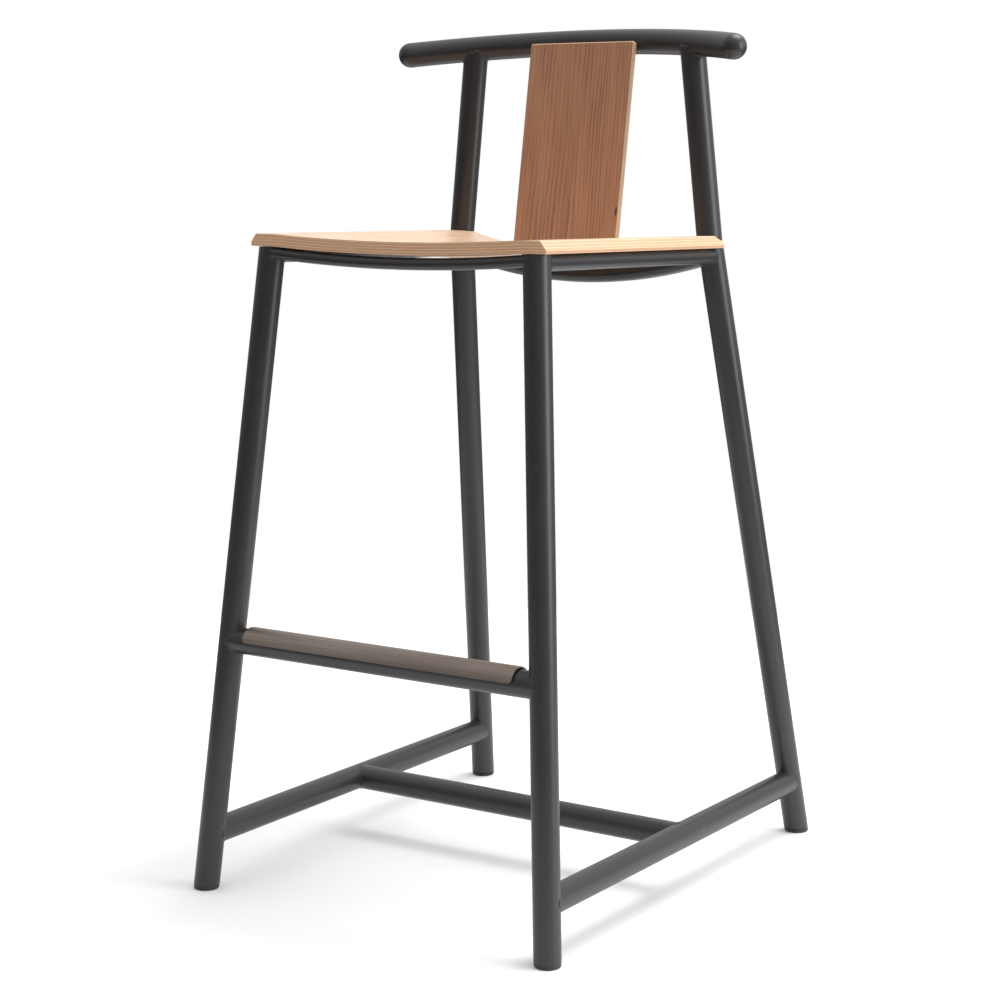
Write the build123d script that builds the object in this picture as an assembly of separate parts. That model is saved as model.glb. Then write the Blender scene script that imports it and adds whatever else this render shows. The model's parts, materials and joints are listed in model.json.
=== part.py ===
from build123d import *
import math
import os

# Bar stool with a footrest, in millimetres.
# +Z is up, the front of the stool faces -Y, and the floor is Z = 0.

# Round tube of the frame
TUBE_R = 15.0
TUBE_WALL = 2.0
BORE_R = TUBE_R - TUBE_WALL

# Leg axes at the floor, and how far each axis moves per mm of height
FRONT_FOOT = (234.1, -290.5)
FRONT_SPLAY = (-0.0790, 0.0909)
REAR_FOOT = (237.4, 290.8)
REAR_SPLAY = (-0.0826, -0.1860)
LEG_BOTTOM_Z = 5.0

# Low stretchers and footrest, heights of the tube axes
STRETCHER_Z = 66.0
FOOTREST_Z = 292.0

# Metal cover on the footrest
COVER_R = 18.0
COVER_T = 1.5
COVER_HALF_LENGTH = 182.0
COVER_EDGE_DEG = 8.0
COVER_CORNER_R = 5.0
STRIP_HALF_LENGTH = 176.0
STRIP_HALF_ANGLE = 50.0

# Seat ring: flattened tubes between the legs, which run up to the underside of the seat panel
RING_X = 177.0
RING_Y = 190.0
RING_CENTRE_Y = -34.0
RING_TOP_Z = 735.9
RING_TILT = 1.05
RAIL_WIDTH = 27.0
SIDE_RAIL_DEPTH = 18.5
FRONT_RAIL_DEPTH = 13.0
REAR_RAIL_DEPTH = 19.0
FRONT_RAIL_DROP = 1.0
REAR_RAIL_DROP = 2.4
COPE_GAP = 0.02
FRONT_LEG_TOP = -0.6
REAR_LEG_TOP = 0.0
FRONT_DIP = 6.0
REAR_DIP = 24.0
FRONT_RAIL_DIP = 7.4
REAR_RAIL_DIP = 24.4

# Seat panel, moulded plywood
PANEL_T = 13.8
PANEL_GAP = 0.1
PANEL_HALF_BOTTOM = 195.0
PANEL_HALF_WIDEST = 196.0
PANEL_HALF_TOP = 188.2
PANEL_LIP_Z = 3.5
PANEL_FRONT_Y = -203.5
PANEL_REAR_Y = 187.5
PANEL_CORNER_R = 3.0
NOTCH_R = 16.0
DISH_HALF = 171.0
DISH_BLEND = 0.06

# Seat fasteners
SEAT_SCREW_Y = (-120.0, 120.0)
SEAT_SCREW_R = 3.0
SEAT_SCREW_HEAD_R = 4.5
SEAT_SCREW_HEAD_T = 1.2
INSERT_R = 4.5
INSERT_LENGTH = 10.0

# Back posts and crest rail
POST_FOOT = (177.0, 153.0, 732.0)
CREST_HALF = 225.0
CREST_MID = (180.5, 974.6)
CREST_END = (113.0, 961.9)
POST_TOP_X = 151.5
CAP_SPIGOT_LENGTH = 12.0

# Back splat: front face through two heights, leaning back
SPLAT_HALF_WIDTH = 72.0
SPLAT_T = 9.0
SPLAT_LOW = (112.2, 743.0)
SPLAT_LEAN = 9.44
SPLAT_TOP = 233.6
SPLAT_EDGE_R = 1.8
SPLAT_CORNER_R = 2.5
HOUSING_Z = -13.0

# Tabs and screws that hold the splat
TAB_X = 50.0
TAB_WIDTH = 20.0
TAB_TOP = 231.0
TAB_BOTTOM = 180.0
TAB_T = 6.0
TAB_PLATE_T = 4.0
TAB_SCREW_V = (204.0, 189.0)
WOOD_SCREW_R = 2.0
WOOD_SCREW_HEAD_R = 4.2
WOOD_SCREW_HEAD_T = 2.5
WOOD_SCREW_GRIP = 6.5
FOOT_SCREW_X = 40.0
FOOT_SCREW_GRIP = 22.0

# Foot glides
GLIDE_R = 14.6
GLIDE_STEM_R = 12.8
GLIDE_STEM_TOP = 26.0


def axis_at(foot, splay, z, side=1):
    """Point on a leg axis at height z."""
    return Vector(side * (foot[0] + splay[0] * z), foot[1] + splay[1] * z, z)


def rod(start, end, radius):
    """Solid round bar between two points."""
    direction = end - start
    plane = Plane(origin=start, z_dir=direction)
    return extrude(plane * Circle(radius), direction.length)


def largest(shape):
    """The biggest solid of a result, leaving cut-off slivers behind."""
    return max(shape.solids(), key=lambda solid: solid.volume)


def flat_oval(width, depth):
    """Cross-section of the seat ring tube."""
    return SlotOverall(width, depth)


def dish_shape(dip):
    """Angle at the joint, main radius and blend radius of a dish of this depth."""
    angle = 2 * math.atan(dip / DISH_HALF)
    total = DISH_HALF / math.sin(angle)
    blend = DISH_BLEND * total
    return angle, total - blend, blend


def dish_depth(x, dip):
    """Height of the dished underside at distance x from the middle."""
    radius = dish_shape(dip)[1]
    return radius - dip - math.sqrt(radius**2 - x**2)


def dish_curve(dip, rise, half_length):
    """Flat, blend, main arc, blend and flat, offset upwards by rise from the seat's underside."""
    angle, main, blend = dish_shape(dip)

    def blend_point(share, side):
        turn = angle * share
        x = DISH_HALF - (blend + rise) * math.sin(turn)
        return (side * x, (blend + rise) * math.cos(turn) - blend)

    left = [blend_point(share, -1) for share in (0, 0.5, 1)]
    right = [blend_point(share, 1) for share in (1, 0.5, 0)]
    return [
        Line((-half_length, rise), left[0]),
        ThreePointArc(*left),
        ThreePointArc(left[2], (0, rise - dip), right[0]),
        ThreePointArc(*right),
        Line(right[2], (half_length, rise)),
    ]


def dip_at(y):
    """Depth of the dish in the middle of the seat at a local y."""
    share = (y + RING_Y) / (2 * RING_Y)
    return FRONT_DIP + (REAR_DIP - FRONT_DIP) * share


def seat_frame():
    """Location of the tilted ring frame, with z = 0 on the ring's top."""
    return Location((0, RING_CENTRE_Y, RING_TOP_Z), (-RING_TILT, 0, 0))


def splat_frame():
    """Plane of the splat's front face: x across, y up the board, z to the back."""
    lean = math.radians(SPLAT_LEAN)
    back = (0, math.cos(lean), -math.sin(lean))
    return Plane(origin=(0, SPLAT_LOW[0], SPLAT_LOW[1]), x_dir=(-1, 0, 0), z_dir=back)


# --- Legs ------------------------------------------------------------------

frame_at_seat = seat_frame()
below_floor_cut = Pos(0, 0, LEG_BOTTOM_Z - 50) * Box(800, 900, 100)

parts = {}
leg_solids = {}
leg_names = (
    ("front_left_leg", FRONT_FOOT, FRONT_SPLAY, -1),
    ("front_right_leg", FRONT_FOOT, FRONT_SPLAY, 1),
    ("rear_left_leg", REAR_FOOT, REAR_SPLAY, -1),
    ("rear_right_leg", REAR_FOOT, REAR_SPLAY, 1),
)
for name, foot, splay, side in leg_names:
    low = axis_at(foot, splay, -20, side)
    high = axis_at(foot, splay, RING_TOP_Z + 30, side)
    leg_solids[name] = rod(low, high, TUBE_R)
    top = FRONT_LEG_TOP if foot == FRONT_FOOT else REAR_LEG_TOP
    above = frame_at_seat * Pos(0, 0, 100 + top) * Box(600, 800, 200)
    parts[name] = leg_solids[name] - rod(low, high, BORE_R) - below_floor_cut - above

# --- Seat ring -------------------------------------------------------------

def side_rail(side, width, depth):
    """Straight side of the ring, with its top level with the seat's underside."""
    start = Plane(
        origin=(side * RING_X, -RING_Y, -SIDE_RAIL_DEPTH / 2), x_dir=(1, 0, 0), z_dir=(0, 1, 0)
    )
    return extrude(start * flat_oval(width, depth), 2 * RING_Y)


def cross_rail(y, dip, drop, width, depth, wall=0):
    """Front or rear rail: flattened tube that dips like the seat, hung a little below it."""
    wire = Wire(dish_curve(dip, -drop - depth / 2, RING_X))
    path = Plane(origin=(0, y, 0), x_dir=(1, 0, 0), z_dir=(0, -1, 0)) * wire
    start = Plane(origin=path @ 0, x_dir=(0, 1, 0), z_dir=path % 0)
    return sweep(start * flat_oval(width - 2 * wall, depth - 2 * wall), path=path)


rails = {}
for side, name in ((-1, "left_seat_rail"), (1, "right_seat_rail")):
    outer = side_rail(side, RAIL_WIDTH, SIDE_RAIL_DEPTH)
    rail = outer - side_rail(side, RAIL_WIDTH - 2 * TUBE_WALL, SIDE_RAIL_DEPTH - 2 * TUBE_WALL)
    for y in SEAT_SCREW_Y:
        rail -= Pos(side * RING_X, y, -SIDE_RAIL_DEPTH / 2) * Cylinder(SEAT_SCREW_R, SIDE_RAIL_DEPTH + 2)
        rail -= Pos(side * RING_X, y, -SIDE_RAIL_DEPTH) * Cylinder(SEAT_SCREW_HEAD_R, 2 * SEAT_SCREW_HEAD_T)
    rails[name] = rail
front = (-RING_Y, FRONT_RAIL_DIP, FRONT_RAIL_DROP, RAIL_WIDTH, FRONT_RAIL_DEPTH)
rear = (RING_Y, REAR_RAIL_DIP, REAR_RAIL_DROP, RAIL_WIDTH, REAR_RAIL_DEPTH)
rails["front_seat_rail"] = cross_rail(*front) - cross_rail(*front, wall=TUBE_WALL)
rails["rear_seat_rail"] = cross_rail(*rear) - cross_rail(*rear, wall=TUBE_WALL)
for side in (-1, 1):
    neighbour = side_rail(side, RAIL_WIDTH + 2 * COPE_GAP, SIDE_RAIL_DEPTH + 2 * COPE_GAP)
    for name in ("front_seat_rail", "rear_seat_rail"):
        rails[name] -= neighbour
for name, rail in rails.items():
    rail = frame_at_seat * rail
    for leg_name, foot, splay, side in leg_names:
        low = axis_at(foot, splay, RING_TOP_Z - 120, side)
        high = axis_at(foot, splay, RING_TOP_Z + 30, side)
        rail -= rod(low, high, TUBE_R + COPE_GAP)
    parts[name] = largest(rail)

# --- Crest rail and posts --------------------------------------------------

crest_path = ThreePointArc(
    (-CREST_HALF, CREST_END[0], CREST_END[1]),
    (0, CREST_MID[0], CREST_MID[1]),
    (CREST_HALF, CREST_END[0], CREST_END[1]),
)
crest_start = Plane(origin=crest_path @ 0, z_dir=crest_path % 0)
crest_solid = sweep(crest_start * Circle(TUBE_R), path=crest_path)
crest_bore = sweep(crest_start * Circle(BORE_R), path=crest_path)
parts["crest_rail"] = crest_solid - crest_bore

for side, name in ((0, "left_crest_cap"), (1, "right_crest_cap")):
    outward = (crest_path % side) * (1 if side else -1)
    end = Plane(origin=crest_path @ side, z_dir=outward)
    ball = end * Sphere(TUBE_R)
    keep = extrude(end * Circle(2 * TUBE_R), 2 * TUBE_R)
    spigot = extrude(end * Circle(BORE_R - 0.5), -CAP_SPIGOT_LENGTH) - crest_solid
    inner = crest_bore & extrude(end * Circle(BORE_R - 0.5), -CAP_SPIGOT_LENGTH)
    parts[name] = largest((ball & keep) + inner + spigot)

crest_share = (POST_TOP_X / CREST_HALF) ** 2
post_top_y = CREST_MID[0] + (CREST_END[0] - CREST_MID[0]) * crest_share
post_top_z = CREST_MID[1] + (CREST_END[1] - CREST_MID[1]) * crest_share
post_solids = {}
below_seat_line = frame_at_seat * Pos(0, 0, REAR_LEG_TOP + COPE_GAP - 50) * Box(600, 800, 100)
for side, name in ((-1, "left_back_post"), (1, "right_back_post")):
    low = Vector(side * POST_FOOT[0], POST_FOOT[1], POST_FOOT[2])
    high = Vector(side * POST_TOP_X, post_top_y, post_top_z)
    foot = low - (high - low).normalized() * 8
    solid = rod(foot, high, TUBE_R)
    post_solids[side] = (foot, high)
    parts[name] = largest(solid - rod(foot, high, BORE_R) - crest_solid - below_seat_line)

# --- Footrest and low stretchers -------------------------------------------

foot_left = axis_at(FRONT_FOOT, FRONT_SPLAY, FOOTREST_Z, -1)
foot_right = axis_at(FRONT_FOOT, FRONT_SPLAY, FOOTREST_Z, 1)
footrest = rod(foot_left, foot_right, TUBE_R) - rod(foot_left, foot_right, BORE_R)
for name in ("front_left_leg", "front_right_leg"):
    footrest -= leg_solids[name]
parts["footrest_rail"] = largest(footrest)

stretcher_solids = {}
for side, name in ((-1, "left"), (1, "right")):
    front = axis_at(FRONT_FOOT, FRONT_SPLAY, STRETCHER_Z, side)
    rear = axis_at(REAR_FOOT, REAR_SPLAY, STRETCHER_Z, side)
    solid = rod(front, rear, TUBE_R)
    stretcher_solids[name] = solid
    tube = solid - rod(front, rear, BORE_R)
    tube -= leg_solids["front_" + name + "_leg"]
    tube -= leg_solids["rear_" + name + "_leg"]
    parts[name + "_low_stretcher"] = largest(tube)

middle_x = (axis_at(FRONT_FOOT, FRONT_SPLAY, STRETCHER_Z).X + axis_at(REAR_FOOT, REAR_SPLAY, STRETCHER_Z).X) / 2
cross_left = Vector(-middle_x, 0, STRETCHER_Z)
cross_right = Vector(middle_x, 0, STRETCHER_Z)
cross = rod(cross_left, cross_right, TUBE_R) - rod(cross_left, cross_right, BORE_R)
cross = cross - stretcher_solids["left"] - stretcher_solids["right"]
parts["cross_stretcher"] = largest(cross)

# Half-round cover: an arc band along X with rounded corners
cover_low = COVER_R * math.sin(math.radians(COVER_EDGE_DEG))
cover_plane = Plane(origin=(-COVER_HALF_LENGTH, foot_left.Y, FOOTREST_Z), x_dir=(0, 1, 0), z_dir=(1, 0, 0))
ring_section = Circle(COVER_R) - Circle(COVER_R - COVER_T)
upper = Pos(0, cover_low + COVER_R) * Rectangle(4 * COVER_R, 2 * COVER_R)
cover = extrude(cover_plane * (ring_section & upper), 2 * COVER_HALF_LENGTH)
outline = Pos(0, COVER_R) * RectangleRounded(2 * COVER_HALF_LENGTH, 2 * COVER_R, COVER_CORNER_R)
outline_plane = Plane(origin=(0, foot_left.Y, FOOTREST_Z + cover_low), x_dir=(1, 0, 0), z_dir=(0, -1, 0))
rounded = extrude(outline_plane * outline, 2 * COVER_R, both=True)
above = Pos(0, foot_left.Y, FOOTREST_Z + COVER_R + cover_low + 1) * Box(
    2 * COVER_HALF_LENGTH, 4 * COVER_R, 2 * COVER_R - 10
)
parts["footrest_cover"] = largest(cover & (rounded + above))

strip_plane = Plane(origin=(-STRIP_HALF_LENGTH, foot_left.Y, FOOTREST_Z), x_dir=(0, 1, 0), z_dir=(1, 0, 0))
wedge_x = 30 * math.tan(math.radians(STRIP_HALF_ANGLE))
wedge = Polygon((0, 0), (wedge_x, 30), (-wedge_x, 30), align=None)
strip_section = (Circle(COVER_R - COVER_T) - Circle(TUBE_R)) & wedge
parts["footrest_bonding_strip"] = extrude(strip_plane * strip_section, 2 * STRIP_HALF_LENGTH)

# --- Back splat ------------------------------------------------------------

board_plane = splat_frame()
half_height = SPLAT_TOP / 2 + 30
board = extrude(
    board_plane * Pos(0, SPLAT_TOP - half_height) * Rectangle(2 * SPLAT_HALF_WIDTH, 2 * half_height), SPLAT_T
)
top_corners = board.edges().filter_by(lambda e: abs(e.length - SPLAT_T) < 0.01).sort_by(Axis.Z)[-2:]
board = fillet(top_corners, SPLAT_CORNER_R)
face_edges = board.faces().sort_by(Axis.Y)[0].edges() + board.faces().sort_by(Axis.Y)[-1].edges()
board = fillet(face_edges, SPLAT_EDGE_R)
below_housing = frame_at_seat * Pos(0, 0, HOUSING_Z - 100) * Box(500, 500, 200)
board = board - below_housing

tab_solid = {}
for side, name in ((-1, "left_splat_tab"), (1, "right_splat_tab")):
    height = TAB_TOP - TAB_BOTTOM
    profile = Pos(side * TAB_X, TAB_BOTTOM + height / 2) * RectangleRounded(TAB_WIDTH, height, 3)
    back_face = board_plane.offset(SPLAT_T)
    plate = extrude(back_face * profile, TAB_PLATE_T)
    pad = Pos(side * TAB_X, TAB_TOP - 8) * Rectangle(TAB_WIDTH - 6, 14)
    plate += extrude(back_face * pad, TAB_T)
    tab_solid[name] = plate - crest_solid

tab_screws = []
screw_bores = []
for side in (-1, 1):
    for v in TAB_SCREW_V:
        seat_plane = board_plane.offset(SPLAT_T + TAB_PLATE_T) * Pos(side * TAB_X, v)
        shank = extrude(seat_plane * Circle(WOOD_SCREW_R), -(TAB_PLATE_T + WOOD_SCREW_GRIP))
        head = extrude(seat_plane * Circle(WOOD_SCREW_HEAD_R), WOOD_SCREW_HEAD_T)
        crown = head.faces().sort_by(Axis.Y)[-1].edges()
        tab_screws.append(fillet(crown, 1.2) + shank)
        screw_bores.append(shank)
for name, plate in tab_solid.items():
    parts[name] = largest(plate - screw_bores)
board = board - screw_bores
parts["splat_tab_screws"] = Compound(children=[largest(screw) for screw in tab_screws])

# --- Seat panel ------------------------------------------------------------

def panel_section(y):
    """Closed outline of the panel across its width at a local y."""
    dip = dip_at(y)
    bottom = dish_curve(dip, 0, PANEL_HALF_BOTTOM)
    top = dish_curve(dip, PANEL_T, PANEL_HALF_TOP)
    edges = bottom + top
    for side in (-1, 1):
        low = (side * PANEL_HALF_BOTTOM, 0)
        lip = (side * PANEL_HALF_WIDEST, PANEL_LIP_Z)
        high = (side * PANEL_HALF_TOP, PANEL_T)
        edges += [Line(low, lip), Line(lip, high)]
    plane = Plane(origin=(0, y, 0), x_dir=(1, 0, 0), z_dir=(0, -1, 0))
    return plane * make_face(edges)


panel = loft([panel_section(PANEL_FRONT_Y - 2), panel_section(PANEL_REAR_Y + 2)], ruled=True)
panel_length = PANEL_REAR_Y - PANEL_FRONT_Y
plan_outline = RectangleRounded(2 * PANEL_HALF_WIDEST + 1, panel_length, PANEL_CORNER_R)
plan_block = extrude(Pos(0, (PANEL_FRONT_Y + PANEL_REAR_Y) / 2, -40) * plan_outline, 80)
panel = frame_at_seat * Pos(0, 0, PANEL_GAP) * (panel & plan_block)
for foot, high in post_solids.values():
    panel -= rod(foot, high, NOTCH_R)
panel -= board

seat_screws = []
inserts = []
foot_screws = []
for side in (-1, 1):
    for y in SEAT_SCREW_Y:
        spot = frame_at_seat * Pos(side * RING_X, y, 0)
        insert_body = spot * Pos(0, 0, INSERT_LENGTH / 2) * Cylinder(INSERT_R, INSERT_LENGTH)
        shank_length = SIDE_RAIL_DEPTH + INSERT_LENGTH
        shank = spot * Pos(0, 0, INSERT_LENGTH - shank_length / 2) * Cylinder(SEAT_SCREW_R, shank_length)
        head_z = -SIDE_RAIL_DEPTH + SEAT_SCREW_HEAD_T / 2
        head = Pos(0, 0, head_z) * Cylinder(SEAT_SCREW_HEAD_R, SEAT_SCREW_HEAD_T)
        head = chamfer(head.faces().sort_by(Axis.Z)[0].edges(), 0.3)
        seat_screws.append(largest(spot * head + shank))
        panel -= insert_body
        inserts.append(largest(insert_body - shank))
parts["seat_screws"] = Compound(children=seat_screws)
parts["seat_inserts"] = Compound(children=inserts)

screw_foot_z = dish_depth(FOOT_SCREW_X, dip_at(SPLAT_LOW[0] - RING_CENTRE_Y)) + 0.3
lean_up = board_plane.y_dir
for side in (-1, 1):
    face_y = SPLAT_LOW[0] + SPLAT_T / 2 / math.cos(math.radians(SPLAT_LEAN))
    mid = Vector(side * FOOT_SCREW_X, face_y, SPLAT_LOW[1])
    high = mid + lean_up * (FOOT_SCREW_GRIP - 20)
    shank = rod(mid - lean_up * 60, high, WOOD_SCREW_R)
    head_block = rod(mid - lean_up * 60, high, WOOD_SCREW_HEAD_R)
    underside = frame_at_seat * Pos(0, 0, screw_foot_z - 50) * Box(500, 500, 100)
    shank = shank - underside
    recess = (head_block - underside) & (
        frame_at_seat * Pos(0, 0, screw_foot_z + WOOD_SCREW_HEAD_T / 2)
        * Box(500, 500, WOOD_SCREW_HEAD_T)
    )
    screw = largest(shank + recess)
    foot_screws.append(screw)
    panel -= screw
    board -= screw
parts["splat_foot_screws"] = Compound(children=foot_screws)
parts["back_splat"] = largest(board)
parts["seat_panel"] = largest(panel)

# --- Foot glides -----------------------------------------------------------

flange_zone = Pos(0, 0, LEG_BOTTOM_Z / 2) * Box(800, 900, LEG_BOTTOM_Z)
stem_zone = Pos(0, 0, (LEG_BOTTOM_Z + GLIDE_STEM_TOP) / 2) * Box(800, 900, GLIDE_STEM_TOP - LEG_BOTTOM_Z)
for name, foot, splay, side in leg_names:
    low = axis_at(foot, splay, -20, side)
    high = axis_at(foot, splay, 60, side)
    flange = largest(rod(low, high, GLIDE_R) & flange_zone)
    flange = fillet(flange.faces().sort_by(Axis.Z)[0].edges(), 2.0)
    stem = rod(low, high, GLIDE_STEM_R) & stem_zone
    parts[name.replace("_leg", "_glide")] = largest(flange + stem)

# --- Output ----------------------------------------------------------------

os.makedirs("parts", exist_ok=True)
for name, shape in parts.items():
    export_step(shape, "parts/" + name + ".step")
    print(name, len(shape.solids()), round(shape.volume, 1))
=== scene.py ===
import json
import math

import bpy
from mathutils import Matrix, Vector
from mathutils.bvhtree import BVHTree


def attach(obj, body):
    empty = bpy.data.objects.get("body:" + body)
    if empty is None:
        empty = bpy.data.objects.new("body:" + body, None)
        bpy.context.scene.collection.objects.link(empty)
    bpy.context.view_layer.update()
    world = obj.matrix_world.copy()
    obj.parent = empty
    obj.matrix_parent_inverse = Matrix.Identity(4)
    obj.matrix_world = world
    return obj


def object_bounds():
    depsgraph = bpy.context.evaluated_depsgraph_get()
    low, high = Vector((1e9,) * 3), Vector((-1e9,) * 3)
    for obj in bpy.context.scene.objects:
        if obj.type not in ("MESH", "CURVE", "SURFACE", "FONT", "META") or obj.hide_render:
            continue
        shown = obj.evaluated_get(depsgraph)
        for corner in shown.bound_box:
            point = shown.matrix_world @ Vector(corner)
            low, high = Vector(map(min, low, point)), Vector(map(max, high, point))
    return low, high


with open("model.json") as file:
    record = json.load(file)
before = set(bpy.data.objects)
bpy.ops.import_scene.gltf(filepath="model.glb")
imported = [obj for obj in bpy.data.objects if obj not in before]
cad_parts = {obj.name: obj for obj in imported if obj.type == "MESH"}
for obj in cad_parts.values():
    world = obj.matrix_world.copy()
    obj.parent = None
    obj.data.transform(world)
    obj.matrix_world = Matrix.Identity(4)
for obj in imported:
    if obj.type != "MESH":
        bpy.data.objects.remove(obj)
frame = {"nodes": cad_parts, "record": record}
CAD_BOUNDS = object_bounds()
NODES = frame["nodes"]

# ---------------------------------------------------------------------------
# Node material helpers
# ---------------------------------------------------------------------------


def new_material(name):
    material = bpy.data.materials.new(name)
    material.use_nodes = True
    tree = material.node_tree
    tree.nodes.clear()
    output = tree.nodes.new("ShaderNodeOutputMaterial")
    shader = tree.nodes.new("ShaderNodeBsdfPrincipled")
    tree.links.new(shader.outputs["BSDF"], output.inputs["Surface"])
    return material, tree, shader


def scaled(values, factor):
    return tuple(value * factor for value in values)


def math_node(tree, operation, a, b=None, c=None, clamp=False):
    made = tree.nodes.new("ShaderNodeMath")
    made.operation = operation
    made.use_clamp = clamp
    for index, value in enumerate((a, b, c)):
        if value is None:
            continue
        if isinstance(value, (int, float)):
            made.inputs[index].default_value = value
        else:
            tree.links.new(value, made.inputs[index])
    return made.outputs[0]


def ramp(tree, factor, stops, interpolation="LINEAR"):
    made = tree.nodes.new("ShaderNodeValToRGB")
    made.color_ramp.interpolation = interpolation
    elements = made.color_ramp.elements
    while len(elements) < len(stops):
        elements.new(0.5)
    for element, (place, colour) in zip(elements, stops):
        element.position = place
        if isinstance(colour, (int, float)):
            colour = (colour, colour, colour)
        element.color = (*colour, 1.0)
    tree.links.new(factor, made.inputs["Fac"])
    return made.outputs["Color"]


def mix_colour(tree, factor, a, b, blend="MIX"):
    made = tree.nodes.new("ShaderNodeMix")
    made.data_type = "RGBA"
    made.blend_type = blend
    # the colour version's sockets: factor, A and B
    for socket, value in zip((made.inputs[0], made.inputs[6], made.inputs[7]), (factor, a, b)):
        if isinstance(value, (int, float)):
            socket.default_value = value
        elif isinstance(value, tuple):
            socket.default_value = (*value, 1.0)
        else:
            tree.links.new(value, socket)
    return made.outputs[2]


def local_coordinates(tree, location=(0, 0, 0), rotation=(0, 0, 0), scale=(1, 1, 1)):
    """The row frame's coordinates, moved, turned and then scaled."""
    coordinates = tree.nodes.new("ShaderNodeTexCoord")
    shift = tree.nodes.new("ShaderNodeMapping")
    shift.vector_type = "TEXTURE"
    shift.inputs["Location"].default_value = location
    shift.inputs["Rotation"].default_value = rotation
    tree.links.new(coordinates.outputs["Object"], shift.inputs["Vector"])
    if tuple(scale) == (1, 1, 1):
        return shift.outputs["Vector"]
    stretch = tree.nodes.new("ShaderNodeMapping")
    stretch.inputs["Scale"].default_value = scale
    tree.links.new(shift.outputs["Vector"], stretch.inputs["Vector"])
    return stretch.outputs["Vector"]


def stretched(tree, vector, scale):
    made = tree.nodes.new("ShaderNodeMapping")
    made.inputs["Scale"].default_value = scale
    tree.links.new(vector, made.inputs["Vector"])
    return made.outputs["Vector"]


def noise(tree, vector, scale, detail=4.0, roughness=0.55, distortion=0.0, output="Fac"):
    made = tree.nodes.new("ShaderNodeTexNoise")
    made.inputs["Scale"].default_value = scale
    made.inputs["Detail"].default_value = detail
    made.inputs["Roughness"].default_value = roughness
    made.inputs["Distortion"].default_value = distortion
    tree.links.new(vector, made.inputs["Vector"])
    return made.outputs[output]


def bump(tree, shader, height, strength, distance, previous=None):
    made = tree.nodes.new("ShaderNodeBump")
    made.inputs["Strength"].default_value = strength
    made.inputs["Distance"].default_value = distance
    tree.links.new(height, made.inputs["Height"])
    if previous is not None:
        tree.links.new(previous, made.inputs["Normal"])
    if shader is not None:
        tree.links.new(made.outputs["Normal"], shader.inputs["Normal"])
    return made.outputs["Normal"]


# ---------------------------------------------------------------------------
# Materials
# ---------------------------------------------------------------------------


def powder_coat(name, colour, rubbed, rough):
    """Dark satin powder coat: fine orange peel, faint cloudiness and lightly rubbed spots."""
    material, tree, shader = new_material(name)
    place = local_coordinates(tree)
    clouds = noise(tree, place, 9.0, 3.0)
    peel = noise(tree, place, 620.0, 2.0, 0.5)
    grit = noise(tree, place, 2600.0, 2.0, 0.6)
    scuffs = noise(tree, stretched(tree, place, (1, 1, 0.35)), 48.0, 7.0, 0.68)
    worn = ramp(tree, scuffs, [(0.66, 0.0), (0.74, 1.0)])
    base = ramp(tree, clouds, [(0.3, scaled(colour, 0.9)), (0.7, scaled(colour, 1.12))])
    speck = ramp(tree, grit, [(0.35, 0.86), (0.7, 1.12)])
    base = mix_colour(tree, 1.0, base, speck, "MULTIPLY")
    base = mix_colour(tree, math_node(tree, "MULTIPLY", worn, 0.35), base, rubbed)
    tree.links.new(base, shader.inputs["Base Color"])
    gloss = math_node(tree, "MULTIPLY_ADD", clouds, 0.12, rough - 0.06)
    gloss = math_node(tree, "SUBTRACT", gloss, math_node(tree, "MULTIPLY", worn, 0.06))
    tree.links.new(gloss, shader.inputs["Roughness"])
    height = math_node(tree, "MULTIPLY_ADD", grit, 0.35, peel)
    bump(tree, shader, height, 0.22, 0.00016)
    return material


def brushed_cover(name):
    """Brownish pewter sheet, brushed along its length, with fine scratches from shoes."""
    material, tree, shader = new_material(name)
    place = local_coordinates(tree)
    lines = noise(tree, stretched(tree, place, (6, 900, 900)), 1.0, 5.0, 0.7)
    broad = noise(tree, stretched(tree, place, (3.5, 60, 60)), 1.0, 3.0)
    turned = local_coordinates(tree, rotation=(0, 0.1, math.radians(31)))
    cuts = noise(tree, stretched(tree, turned, (60, 1500, 1500)), 1.0, 2.0, 0.5)
    cuts = ramp(tree, cuts, [(0.70, 0.0), (0.74, 1.0)])
    rubbed = noise(tree, place, 16.0, 4.0)
    tone = math_node(tree, "MULTIPLY_ADD", lines, 0.7, math_node(tree, "MULTIPLY", broad, 0.4))
    dark, middle, light = (0.150, 0.118, 0.098), (0.235, 0.195, 0.168), (0.36, 0.315, 0.28)
    base = ramp(tree, tone, [(0.30, dark), (0.55, middle), (0.82, light)])
    base = mix_colour(tree, math_node(tree, "MULTIPLY", cuts, 0.35), base, (0.50, 0.46, 0.42))
    tree.links.new(base, shader.inputs["Base Color"])
    shader.inputs["Metallic"].default_value = 0.85
    gloss = math_node(tree, "MULTIPLY_ADD", lines, 0.22, 0.30)
    gloss = math_node(tree, "MULTIPLY_ADD", rubbed, 0.10, gloss)
    tree.links.new(gloss, shader.inputs["Roughness"])
    first = bump(tree, None, lines, 0.28, 0.00006)
    bump(tree, shader, cuts, 0.20, 0.00004, first)
    return material


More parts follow.
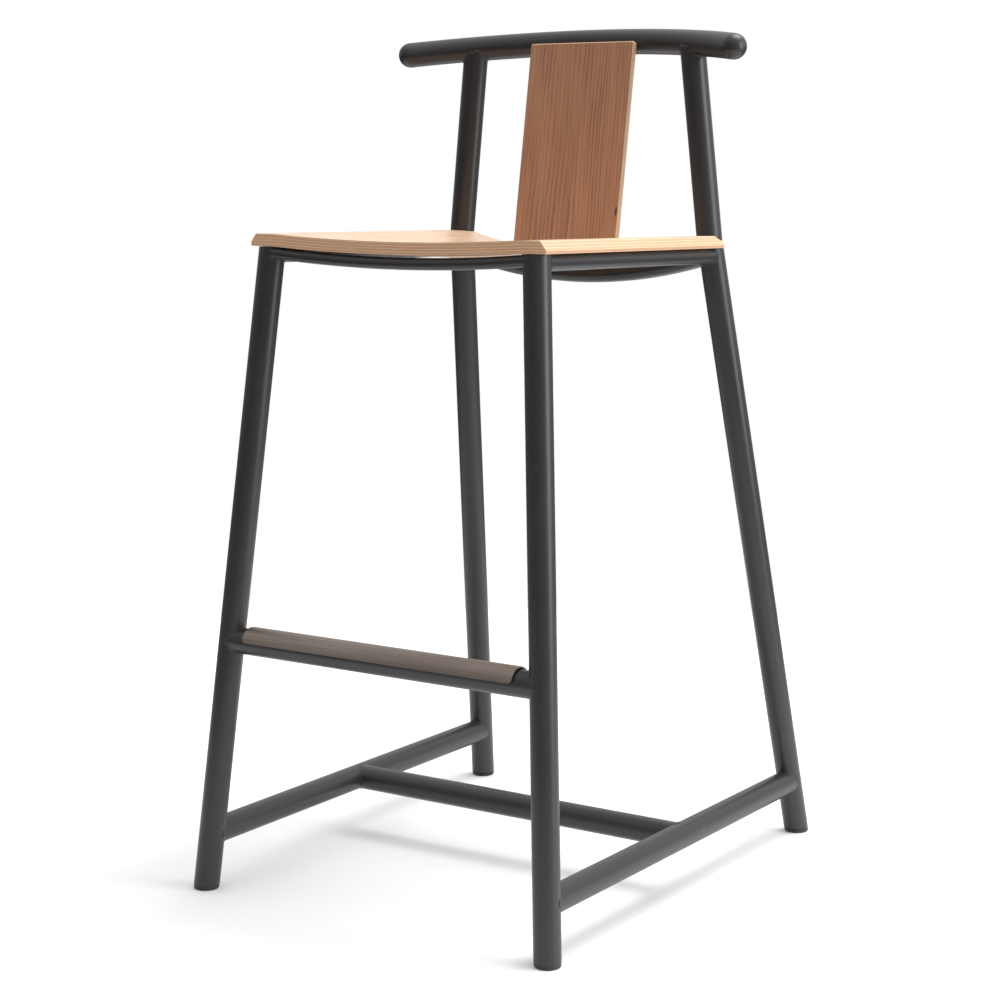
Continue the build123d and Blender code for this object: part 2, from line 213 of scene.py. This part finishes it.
def wood_grain(tree, place, along, seed, rings, wander_by):
    """Growth rings, fibre streaks and pores running along one axis of place, Y or Z.

    rings is their number per metre across, and wander_by is how many rings they drift.
    Returns (ring tone, streak tone, pore mask), each from 0 to 1.
    """
    across = {"Y": (9.0, 1.15, 9.0), "Z": (9.0, 9.0, 1.15)}[along]
    fine = {"Y": (340.0, 7.0, 340.0), "Z": (340.0, 340.0, 7.0)}[along]
    pores = {"Y": (950.0, 42.0, 950.0), "Z": (950.0, 950.0, 42.0)}[along]
    moved = tree.nodes.new("ShaderNodeVectorMath")
    moved.operation = "ADD"
    moved.inputs[1].default_value = seed
    tree.links.new(place, moved.inputs[0])
    start = moved.outputs[0]
    wander = noise(tree, stretched(tree, start, across), 1.0, 2.0, 0.45)
    flow = noise(tree, stretched(tree, start, scaled(across, 3.1)), 1.0, 2.0, 0.5)
    split = tree.nodes.new("ShaderNodeSeparateXYZ")
    tree.links.new(start, split.inputs[0])
    phase = math_node(tree, "MULTIPLY", wander, wander_by)
    phase = math_node(tree, "MULTIPLY_ADD", flow, wander_by * 0.22, phase)
    drift = noise(tree, stretched(tree, start, scaled(across, 9.0)), 1.0, 3.0, 0.6)
    phase = math_node(tree, "MULTIPLY_ADD", drift, wander_by * 0.16, phase)
    phase = math_node(tree, "MULTIPLY_ADD", split.outputs["X"], rings, phase)
    ring = math_node(tree, "FRACT", phase)
    ring = ramp(tree, ring, [(0.0, 0.0), (0.50, 0.36), (0.84, 1.0), (0.93, 0.45), (1.0, 0.0)])
    # some rings are faint for part of their length
    fade = noise(tree, stretched(tree, start, scaled(across, 6.0)), 1.0, 2.0, 0.5)
    ring = math_node(tree, "MULTIPLY", ring, ramp(tree, fade, [(0.36, 0.30), (0.62, 1.0)]))
    streak = noise(tree, stretched(tree, start, fine), 1.0, 4.0, 0.65)
    pore = noise(tree, stretched(tree, start, pores), 1.0, 2.0, 0.6)
    pore = ramp(tree, pore, [(0.60, 0.0), (0.72, 1.0)])
    return ring, streak, pore


def plies(tree, depth, count, thickness, place, along_scale):
    """Plies in a panel's edge, where depth runs from 0 to thickness.

    Returns (whether the ply's grain runs endwise here, the glue line mask).
    """
    wobble = noise(tree, stretched(tree, place, along_scale), 1.0, 3.0)
    level = math_node(tree, "MULTIPLY", depth, count / thickness)
    level = math_node(tree, "MULTIPLY_ADD", wobble, 0.50, level)
    parity = math_node(tree, "FRACT", math_node(tree, "MULTIPLY", level, 0.5))
    side = math_node(tree, "GREATER_THAN", parity, 0.5)
    near = math_node(tree, "FRACT", level)
    line = ramp(tree, near, [(0.0, 1.0), (0.10, 0.12), (0.90, 0.0), (1.0, 1.0)])
    return side, line


def plywood(name, depth_of, count, thickness, tones, grain, frame_at, knots=()):
    """Lacquered plywood. Faces show veneer, and edges show the stacked plies."""
    material, tree, shader = new_material(name)
    place = local_coordinates(tree, location=frame_at[0], rotation=frame_at[1])
    split = tree.nodes.new("ShaderNodeSeparateXYZ")
    tree.links.new(place, split.inputs[0])
    x, y, z = split.outputs["X"], split.outputs["Y"], split.outputs["Z"]
    depth = depth_of(tree, x, y, z)

    ring, streak, pore = wood_grain(tree, place, *grain)
    face = mix_colour(tree, ring, tones["early"], tones["late"])
    fibre = ramp(tree, streak, [(0.28, 0.80), (0.72, 1.16)])
    face = mix_colour(tree, 1.0, face, fibre, "MULTIPLY")
    face = mix_colour(tree, math_node(tree, "MULTIPLY", pore, 0.34), face, tones["pore"])
    patch = noise(tree, place, 5.0, 2.0)
    face = mix_colour(tree, 1.0, face, ramp(tree, patch, [(0.3, 0.93), (0.7, 1.06)]), "MULTIPLY")
    for (kx, ky, kz), radius in knots:
        offset = tree.nodes.new("ShaderNodeVectorMath")
        offset.operation = "SUBTRACT"
        offset.inputs[1].default_value = (kx, ky, kz)
        tree.links.new(place, offset.inputs[0])
        flat = stretched(tree, offset.outputs[0], (3.2, 1.0, 0.62))
        length = tree.nodes.new("ShaderNodeVectorMath")
        length.operation = "LENGTH"
        tree.links.new(flat, length.inputs[0])
        spot = math_node(tree, "DIVIDE", length.outputs["Value"], radius)
        spot = math_node(tree, "SUBTRACT", spot, 0.25)
        spot = math_node(tree, "MULTIPLY_ADD", noise(tree, place, 260.0, 3.0), 0.5, spot)
        spot = ramp(tree, spot, [(0.55, 1.0), (1.05, 0.0)])
        face = mix_colour(tree, math_node(tree, "MULTIPLY", spot, 0.95), face, tones["knot"])

    side, line = plies(tree, depth, count, thickness, place, (22, 22, 260))
    grain_long = noise(tree, stretched(tree, place, (30, 30, 1500)), 1.0, 4.0, 0.6)
    grain_end = noise(tree, stretched(tree, place, (700, 700, 1500)), 1.0, 3.0, 0.6)
    spread = [(0.3, 0.0), (0.7, 1.0)]
    long_ply = mix_colour(tree, ramp(tree, grain_long, spread), tones["ply_a"], tones["ply_b"])
    end_ply = mix_colour(tree, ramp(tree, grain_end, spread), tones["end_a"], tones["end_b"])
    edge = mix_colour(tree, side, long_ply, end_ply)
    edge = mix_colour(tree, math_node(tree, "MULTIPLY", line, 0.85), edge, tones["glue"])

    from_middle = math_node(tree, "ABSOLUTE", math_node(tree, "SUBTRACT", depth, thickness / 2))
    is_face = math_node(tree, "GREATER_THAN", from_middle, thickness / 2 - VENEER_MARGIN)
    colour = mix_colour(tree, is_face, edge, face)
    tree.links.new(colour, shader.inputs["Base Color"])
    gloss = math_node(tree, "MULTIPLY_ADD", streak, 0.16, 0.36)
    gloss = math_node(tree, "MULTIPLY_ADD", pore, 0.14, gloss)
    tree.links.new(gloss, shader.inputs["Roughness"])
    shader.inputs["Coat Weight"].default_value = 0.18
    shader.inputs["Coat Roughness"].default_value = 0.28
    height = math_node(tree, "MULTIPLY_ADD", pore, -0.7, streak)
    height = math_node(tree, "MULTIPLY_ADD", ring, 0.30, height)
    first = bump(tree, None, height, 0.16, 0.00014)
    edge_line = math_node(tree, "MULTIPLY", line, math_node(tree, "SUBTRACT", 1.0, is_face))
    bump(tree, shader, math_node(tree, "MULTIPLY", edge_line, -1.0), 0.25, 0.00012, first)
    return material


def plain_plastic(name, colour, rough):
    """Moulded plastic or foam with a fine grain and cloudy tone."""
    material, tree, shader = new_material(name)
    place = local_coordinates(tree)
    grain = noise(tree, place, 1500.0, 2.0)
    clouds = noise(tree, place, 60.0, 4.0)
    base = ramp(tree, clouds, [(0.3, scaled(colour, 0.8)), (0.75, scaled(colour, 1.5))])
    tree.links.new(base, shader.inputs["Base Color"])
    tree.links.new(math_node(tree, "MULTIPLY_ADD", clouds, 0.15, rough), shader.inputs["Roughness"])
    bump(tree, shader, grain, 0.3, 0.0001)
    return material


def plated_metal(name, dark, light, rough):
    """Plated fastener metal with turning marks and a slightly uneven passivation."""
    material, tree, shader = new_material(name)
    place = local_coordinates(tree)
    clouds = noise(tree, place, 240.0, 4.0)
    marks = noise(tree, stretched(tree, place, (300, 300, 3200)), 1.0, 3.0)
    base = ramp(tree, clouds, [(0.3, dark), (0.7, light)])
    tree.links.new(base, shader.inputs["Base Color"])
    shader.inputs["Metallic"].default_value = 1.0
    tree.links.new(math_node(tree, "MULTIPLY_ADD", clouds, 0.2, rough), shader.inputs["Roughness"])
    bump(tree, shader, marks, 0.15, 0.00005)
    return material


# Depth this close to either surface of a panel is its face, and the rest is its edge
VENEER_MARGIN = 0.0004
# Seat: tilted frame and dish, as in the CAD part
SEAT_AT = (0.0, -0.034, 0.7360)
RING_TILT = math.radians(-1.05)
SEAT_TURN = (RING_TILT, 0, 0)
DISH_HALF = 0.171
DISH_BLEND = 0.06
RING_Y = 0.190
DIPS = (0.006, 0.024)
SEAT_T = 0.0138
# Splat: front face leaning back
SPLAT_AT = (0.0, 0.1122, 0.743)
SPLAT_LEAN = math.radians(9.44)
SPLAT_T = 0.009


def seat_depth(tree, x, y, z):
    """Height above the dished underside, in metres, from the seat frame's coordinates."""
    share = math_node(tree, "MULTIPLY_ADD", y, 0.5 / RING_Y, 0.5)
    dip = math_node(tree, "MULTIPLY_ADD", share, DIPS[1] - DIPS[0], DIPS[0])
    u = math_node(tree, "DIVIDE", math_node(tree, "ABSOLUTE", x), DISH_HALF)
    # a parabola over the middle, then a blend that brings it back to flat
    share_in = 1.0 - DISH_BLEND
    inner = math_node(tree, "MULTIPLY", u, u)
    inner = math_node(tree, "MULTIPLY_ADD", inner, -1.0 / share_in, 1.0)
    outer = math_node(tree, "SUBTRACT", 1.0, u, clamp=True)
    outer = math_node(tree, "MULTIPLY", outer, outer)
    outer = math_node(tree, "DIVIDE", outer, DISH_BLEND)
    is_in = math_node(tree, "LESS_THAN", u, share_in)
    shape = math_node(tree, "MULTIPLY_ADD", is_in, math_node(tree, "SUBTRACT", inner, outer), outer)
    return math_node(tree, "MULTIPLY_ADD", dip, shape, z)


def splat_depth(tree, x, y, z):
    return y


COAT_COLOUR = (0.0245, 0.0225, 0.0240)
COAT_RUBBED = (0.070, 0.067, 0.068)
FRAME_COAT = powder_coat("frame_powder_coat", COAT_COLOUR, COAT_RUBBED, 0.36)
COVER = brushed_cover("footrest_cover_metal")
SEAT_WOOD = plywood(
    "seat_plywood",
    seat_depth,
    9,
    SEAT_T,
    {
        "early": (0.69, 0.480, 0.320),
        "late": (0.585, 0.365, 0.212),
        "pore": (0.46, 0.245, 0.125),
        "knot": (0.16, 0.08, 0.04),
        "ply_a": (0.76, 0.450, 0.265),
        "ply_b": (0.89, 0.595, 0.395),
        "end_a": (0.59, 0.320, 0.170),
        "end_b": (0.76, 0.465, 0.270),
        "glue": (0.23, 0.105, 0.048),
    },
    ("Y", (0.31, 0.12, 0.05), 95.0, 7.0),
    (SEAT_AT, SEAT_TURN),
)
# Splat: the seat's wood with its face tones darkened and reddened, painted shade standing in for
# the shade on the splat's front face; its ply edge tones stay near the seat's
SPLAT_WOOD_PAINTED_SHADE = plywood(
    "splat_plywood",
    splat_depth,
    7,
    SPLAT_T,
    {
        # face, pore and knot tones: painted shade, darker than the seat's wood
        "early": (0.490, 0.236, 0.124),
        "late": (0.268, 0.108, 0.050),
        "pore": (0.190, 0.072, 0.032),
        "knot": (0.035, 0.015, 0.010),
        "ply_a": (0.66, 0.430, 0.250),
        "ply_b": (0.76, 0.545, 0.345),
        "end_a": (0.50, 0.310, 0.172),
        "end_b": (0.63, 0.430, 0.258),
        "glue": (0.33, 0.180, 0.092),
    },
    ("Z", (0.07, 0.33, 0.21), 172.0, 8.5),
    (SPLAT_AT, (-SPLAT_LEAN, 0, 0)),
    knots=(((0.0692, 0.0, 0.0315), 0.0050),),
)
FINISHES = {
    "frame_coat": FRAME_COAT,
    "cover_metal": COVER,
    "bonding_strip": plain_plastic("bonding_strip_foam", (0.020, 0.020, 0.020), 0.7),
    "seat_plywood": SEAT_WOOD,
    "splat_plywood": SPLAT_WOOD_PAINTED_SHADE,
    "screw_steel": plated_metal(
        "screw_black_zinc", (0.035, 0.035, 0.038), (0.085, 0.085, 0.09), 0.34
    ),
    "insert_brass": plated_metal("insert_brass", (0.44, 0.31, 0.13), (0.70, 0.53, 0.27), 0.25),
    "glide_plastic": plain_plastic("glide_plastic", (0.018, 0.018, 0.019), 0.48),
}

slot_of = {entry["node"]: entry["material_slot"] for entry in frame["record"]["subparts"]}
for name, cad in NODES.items():
    for material_slot in cad.material_slots:
        material_slot.material = FINISHES[slot_of[name]]

# ---------------------------------------------------------------------------
# Weld beads where the tubes meet
# ---------------------------------------------------------------------------

TUBE_R = 0.015
RAIL_WIDTH = 0.027
SIDE_RAIL_DEPTH = 0.0185
RING_X = 0.177
RING_TOP = Matrix.Translation((0, -0.034, 0.7359)) @ Matrix.Rotation(RING_TILT, 4, "X")
BEAD_RADIUS = 0.0016
RAIL_BEAD_RADIUS = 0.0014
BEAD_SIDES = 10
RIPPLE_PITCH = 0.0021
SEAM_POINTS = 96
SEAM_STEPS = 3
# The seam is found by rays just inside the tube's surface
SKIN = 0.0002
# A seam point further from the rest than this has missed its joint
SEAM_LIMIT = 0.012
UP = Vector((0, 0, 1))


def tree_of(names):
    """One search tree over the solids that a tube is welded to."""
    vertices, faces = [], []
    for name in names:
        mesh = NODES[name].data
        base = len(vertices)
        vertices += [v.co.copy() for v in mesh.vertices]
        faces += [[base + i for i in polygon.vertices] for polygon in mesh.polygons]
    return BVHTree.FromPolygons(vertices, faces)


def outline(width, depth):
    """Evenly spaced points and outward normals round a flat oval, or a circle if width is depth."""
    half = depth / 2
    flat = (width - depth) / 2
    arc = math.pi * half
    total = 2 * arc + 4 * flat
    made = []
    for i in range(SEAM_POINTS):
        s = total * i / SEAM_POINTS
        if s < arc:
            turn = s / half - math.pi / 2
            nu, nv = math.cos(turn), math.sin(turn)
            made.append((flat + half * nu, half * nv, nu, nv))
        elif s < arc + 2 * flat:
            made.append((flat - (s - arc), half, 0.0, 1.0))
        elif s < 2 * arc + 2 * flat:
            turn = (s - arc - 2 * flat) / half + math.pi / 2
            nu, nv = math.cos(turn), math.sin(turn)
            made.append((-flat + half * nu, half * nv, nu, nv))
        else:
            made.append((-flat + (s - 2 * arc - 2 * flat), -half, 0.0, -1.0))
    return made


def smooth_loop(values, rounds):
    count = len(values)
    for _ in range(rounds):
        values = [
            values[i - 1] * 0.25 + values[i] * 0.5 + values[(i + 1) % count] * 0.25
            for i in range(count)
        ]
    return values


def seam(start, direction, targets, width, depth, up):
    """Points where the outline of a tube first meets the targets, and their outward directions."""
    direction = direction.normalized()
    up = up or direction.orthogonal()
    side = direction.cross(up).normalized()
    up = side.cross(direction).normalized()
    search = tree_of(targets)
    points = outline(width - 2 * SKIN, depth - 2 * SKIN)
    count = len(points)
    centres = [
        search.ray_cast(start + side * u + up * v, direction, 0.5)[0] for u, v, _, _ in points
    ]
    outs = [(side * nu + up * nv).normalized() for _, _, nu, nv in points]
    known = [centre is not None for centre in centres]
    spans = [(centre - start).dot(direction) for centre in centres if centre is not None]
    typical = sorted(spans)[len(spans) // 2]
    for i in range(count):
        if known[i] and abs((centres[i] - start).dot(direction) - typical) <= SEAM_LIMIT:
            continue
        step = 1
        while step < count // 2 and not (known[(i + step) % count] or known[i - step]):
            step += 1
        near = centres[(i + step) % count] if known[(i + step) % count] else centres[i - step]
        along = (near - start).dot(direction) if near is not None else typical
        centres[i] = start + side * points[i][0] + up * points[i][1] + direction * along
    centres = smooth_loop(centres, 2)
    dense, dense_outs = [], []
    for i in range(count):
        after = (i + 1) % count
        for step in range(SEAM_STEPS):
            share = step / SEAM_STEPS
            dense.append(centres[i].lerp(centres[after], share))
            dense_outs.append(outs[i].lerp(outs[after], share).normalized())
    return dense, dense_outs


def weld(
    name, start, direction, targets, size=BEAD_RADIUS, width=2 * TUBE_R, depth=2 * TUBE_R, up=None
):
    """A rippled bead along the seam where one tube first meets its neighbours."""
    centres, outs = seam(start, direction, targets, width, depth, up)
    direction = direction.normalized()
    total = len(centres)
    steps = [(centres[(i + 1) % total] - centres[i]).length for i in range(total)]
    length = sum(steps)
    ripples = max(8, round(length / RIPPLE_PITCH))
    vertices, faces = [], []
    travelled = 0.0
    for i in range(total):
        tangent = (centres[(i + 1) % total] - centres[i - 1]).normalized()
        out = outs[i] - direction * 0.6
        out = (out - tangent * out.dot(tangent)).normalized()
        across = tangent.cross(out)
        turn = 2 * math.pi * travelled / length
        radius = size * (0.95 + 0.05 * math.cos(ripples * turn) + 0.04 * math.sin(5 * turn))
        for k in range(BEAD_SIDES):
            angle = 2 * math.pi * k / BEAD_SIDES
            # the bead is flatter than it is wide
            lift = out * (math.cos(angle) * radius * 0.6)
            vertices.append(centres[i] + lift + across * (math.sin(angle) * radius))
        travelled += steps[i]
    for i in range(total):
        here, after = i * BEAD_SIDES, (i + 1) % total * BEAD_SIDES
        for k in range(BEAD_SIDES):
            beside = (k + 1) % BEAD_SIDES
            faces.append((here + k, after + k, after + beside, here + beside))
    mesh = bpy.data.meshes.new(name)
    mesh.from_pydata([tuple(v) for v in vertices], [], faces)
    mesh.update()
    for polygon in mesh.polygons:
        polygon.use_smooth = True
    mesh.materials.append(FRAME_COAT)
    bead = bpy.data.objects.new(name, mesh)
    bpy.context.scene.collection.objects.link(bead)
    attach(bead, "root")


def leg_axis(foot, splay, side):
    return lambda z: Vector((side * (foot[0] + splay[0] * z), foot[1] + splay[1] * z, z))


LEGS = {}
for side, word in ((-1, "left"), (1, "right")):
    LEGS["front_" + word] = leg_axis((0.2341, -0.2905), (-0.0790, 0.0909), side)
    LEGS["rear_" + word] = leg_axis((0.2374, 0.2908), (-0.0826, -0.1860), side)
STRETCHER_Z = 0.066
FOOTREST_Z = 0.292
POST_LOW = (0.177, 0.153, 0.732)
POST_HIGH = (0.1515, 0.1499, 0.9688)
# Front and rear seat rails: place along Y, depth, drop below the ring and dip in the middle
RAILS = {
    "front": (-RING_Y, 0.013, 0.0010, 0.0074),
    "rear": (RING_Y, 0.019, 0.0024, 0.0244),
}
# A cross rail's seam is looked for from this far out, lower by the rail's slope over RAIL_RUN
RAIL_START_X = 0.150
RAIL_RUN = 0.012


for word, side in (("left", -1), ("right", 1)):
    for place, (y, depth, drop, dip) in RAILS.items():
        key = place + "_" + word
        leg = [key + "_leg"]
        slope = 2 * math.atan(dip / DISH_HALF)
        level = -drop - depth / 2
        near = RING_TOP @ Vector((side * RAIL_START_X, y, level - RAIL_RUN * math.tan(slope)))
        far = RING_TOP @ Vector((side * RING_X, y, level))
        bead = "weld_" + key + "_cross_rail"
        weld(bead, near, far - near, leg, RAIL_BEAD_RADIUS, RAIL_WIDTH, depth, UP)
        near = RING_TOP @ Vector((side * RING_X, y * 0.75, -SIDE_RAIL_DEPTH / 2))
        far = RING_TOP @ Vector((side * RING_X, y, -SIDE_RAIL_DEPTH / 2))
        bead = "weld_" + key + "_side_rail"
        weld(bead, near, far - near, leg, RAIL_BEAD_RADIUS, RAIL_WIDTH, SIDE_RAIL_DEPTH, UP)
    front, rear = LEGS["front_" + word](STRETCHER_Z), LEGS["rear_" + word](STRETCHER_Z)
    middle = (front + rear) / 2
    stretcher = "weld_" + word + "_stretcher_"
    outwards = Vector((side, 0, 0))
    weld(stretcher + "front", middle, front - middle, ["front_" + word + "_leg"])
    weld(stretcher + "rear", middle, rear - middle, ["rear_" + word + "_leg"])
    weld("weld_cross_" + word, Vector((0, 0, STRETCHER_Z)), outwards, [word + "_low_stretcher"])
    foot_mid = Vector((0, LEGS["front_left"](FOOTREST_Z).y, FOOTREST_Z))
    weld("weld_footrest_" + word, foot_mid, outwards, ["front_" + word + "_leg"])
    low, high = (Vector((side * end[0], end[1], end[2])) for end in (POST_LOW, POST_HIGH))
    mid = (low + high) / 2
    weld("weld_" + word + "_post_crest", mid, high - mid, ["crest_rail"])

# ---------------------------------------------------------------------------
# Floor, light and camera
# ---------------------------------------------------------------------------

FLOOR_R = 1.5
FLOOR_SIDES = 128
floor_mesh = bpy.data.meshes.new("floor")
rim = [2 * math.pi * i / FLOOR_SIDES for i in range(FLOOR_SIDES)]
edge = [(FLOOR_R * math.cos(turn), FLOOR_R * math.sin(turn), 0) for turn in rim]
floor_mesh.from_pydata(edge, [], [list(range(FLOOR_SIDES))])
floor = bpy.data.objects.new("floor", floor_mesh)
bpy.context.scene.collection.objects.link(floor)
floor_material, _, floor_shader = new_material("floor_paper")
floor_shader.inputs["Base Color"].default_value = (0.94, 0.94, 0.94, 1)
floor_shader.inputs["Roughness"].default_value = 0.75
floor_shader.inputs["Specular IOR Level"].default_value = 0.2
floor_mesh.materials.append(floor_material)

scene = bpy.context.scene
world = bpy.data.worlds.new("studio")
scene.world = world
world.use_nodes = True
tree = world.node_tree
tree.nodes.clear()
output = tree.nodes.new("ShaderNodeOutputWorld")
background = tree.nodes.new("ShaderNodeBackground")
tree.links.new(background.outputs[0], output.inputs[0])
direction = tree.nodes.new("ShaderNodeTexCoord")
axes = tree.nodes.new("ShaderNodeSeparateXYZ")
tree.links.new(direction.outputs["Generated"], axes.inputs[0])
# the studio is brightest overhead and behind the stool, and dim in front of it and below
back = math_node(tree, "MULTIPLY_ADD", axes.outputs["Y"], 0.5, 0.5)
right = math_node(tree, "MULTIPLY_ADD", axes.outputs["X"], 0.5, 0.5)
sides = math_node(tree, "MULTIPLY_ADD", right, 0.10, 0.24)
sides = math_node(tree, "MULTIPLY_ADD", back, 0.55, sides)
zenith = math_node(tree, "POWER", math_node(tree, "MAXIMUM", axes.outputs["Z"], 0.0), 1.5)
sky = math_node(tree, "MULTIPLY_ADD", zenith, 0.72, sides)
above = math_node(tree, "GREATER_THAN", axes.outputs["Z"], -0.02)
sky = math_node(tree, "MULTIPLY", sky, math_node(tree, "MULTIPLY_ADD", above, 0.75, 0.25))
# and its backdrop is white to the camera
seen = tree.nodes.new("ShaderNodeLightPath")
sky = math_node(tree, "MAXIMUM", sky, seen.outputs["Is Camera Ray"])
shade = tree.nodes.new("ShaderNodeCombineColor")
for index, tint in enumerate((0.985, 0.99, 1.0)):
    tree.links.new(math_node(tree, "MULTIPLY", sky, tint), shade.inputs[index])
tree.links.new(shade.outputs[0], background.inputs["Color"])
background.inputs["Strength"].default_value = 1.02


def softbox(name, place, aim, width, height, power):
    light = bpy.data.lights.new(name, "AREA")
    light.shape = "RECTANGLE"
    light.size = width
    light.size_y = height
    light.energy = power
    lamp = bpy.data.objects.new(name, light)
    lamp.location = place
    lamp.rotation_euler = (Vector(aim) - Vector(place)).to_track_quat("-Z", "Y").to_euler()
    scene.collection.objects.link(lamp)


softbox("softbox_top", (0.6, 0.7, 3.0), (0, 0, 0.3), 1.5, 1.5, 52)
softbox("softbox_right", (2.6, 0.5, 1.1), (0, 0, 0.6), 1.2, 2.0, 40)

CAMERA_AT = (1.4460, -2.2138, 0.8452)
CAMERA_PITCH = math.radians(90 - 8.768)
CAMERA_AZIMUTH = math.radians(33.472)
camera_data = bpy.data.cameras.new("camera")
camera_data.sensor_width = 36.0
camera_data.lens = 81.57
camera_data.clip_end = 100.0
camera = bpy.data.objects.new("camera", camera_data)
camera.location = CAMERA_AT
camera.rotation_euler = (CAMERA_PITCH, 0, CAMERA_AZIMUTH)
scene.collection.objects.link(camera)
scene.camera = camera
scene.view_settings.view_transform = "Standard"

low, high = CAD_BOUNDS
